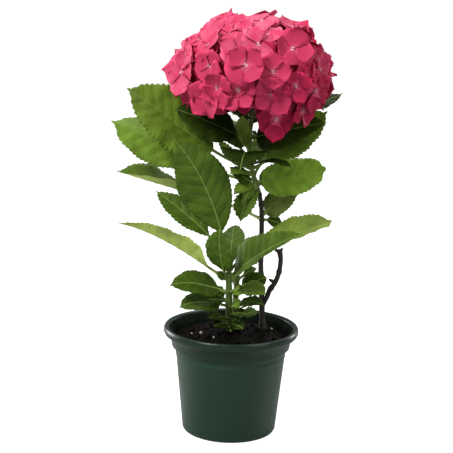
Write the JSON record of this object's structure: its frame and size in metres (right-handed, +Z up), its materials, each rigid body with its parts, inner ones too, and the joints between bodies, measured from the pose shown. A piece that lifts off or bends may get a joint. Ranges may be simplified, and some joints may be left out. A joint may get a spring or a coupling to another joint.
{
  "type": "potted hydrangea shrub",
  "caption": "Small mophead hydrangea in a tapered plastic pot: a domed bloom on an upright stem, a leafy young shoot beside it and large toothed leaves.",
  "frame": {"origin": "centre of the pot's flat underside, where it stands", "axes": "+Z up along the pot's axis, -Y towards the front of the plant, +X to its right"},
  "size_m": [0.2597, 0.2053, 0.4692],
  "materials": {
    "pot_plastic": "satin moulded green plastic",
    "compost": "moist dark peat and bark crumbs",
    "old_wood": "thin grey-brown bark with raised nodes",
    "green_stem": "smooth green young stem",
    "leaf": "thin veined leaf, satin above and paler below",
    "bloom": "soft matt petals, deep pink with pale eyes"
  },
  "bodies": {
    "root": {"pot": "pot_plastic", "compost": "compost", "old_stem": "old_wood", "side_branch": "old_wood", "flowering_shoot": "green_stem", "young_shoot": "green_stem", "second_shoot": "green_stem", "flower_head": "bloom", "leaf_under_bloom_front": "leaf", "leaf_under_bloom_right": "leaf", "leaf_under_bloom_left": "leaf", "leaf_right_shaded": "leaf", "leaf_upright": "leaf", "leaf_front_short": "leaf", "leaf_left_high": "leaf", "leaf_right_high": "leaf", "leaf_left_middle": "leaf", "leaf_right_middle": "leaf", "leaf_left_level": "leaf", "leaf_right_small": "leaf", "leaf_centre_hanging": "leaf", "leaf_centre_small": "leaf", "leaf_front_large": "leaf", "leaf_right_bright": "leaf", "leaf_right_long": "leaf", "leaf_left_shaded": "leaf", "leaf_left_light": "leaf", "leaf_left_inner": "leaf", "leaf_behind_stem": "leaf", "leaf_low_left": "leaf", "leaf_low_right": "leaf", "leaf_base_left": "leaf", "leaf_base_right": "leaf", "leaf_rounded_right": "leaf", "leaf_small_right": "leaf", "leaf_base_dull": "leaf", "leaf_base_shaded": "leaf", "leaf_base_inner": "leaf", "leaf_right_narrow": "leaf", "leaf_behind_shoot": "leaf", "leaf_back_high": "leaf", "leaf_back_left": "leaf", "leaf_back_right": "leaf", "leaf_back_low": "leaf"}
  },
  "joints": []
}
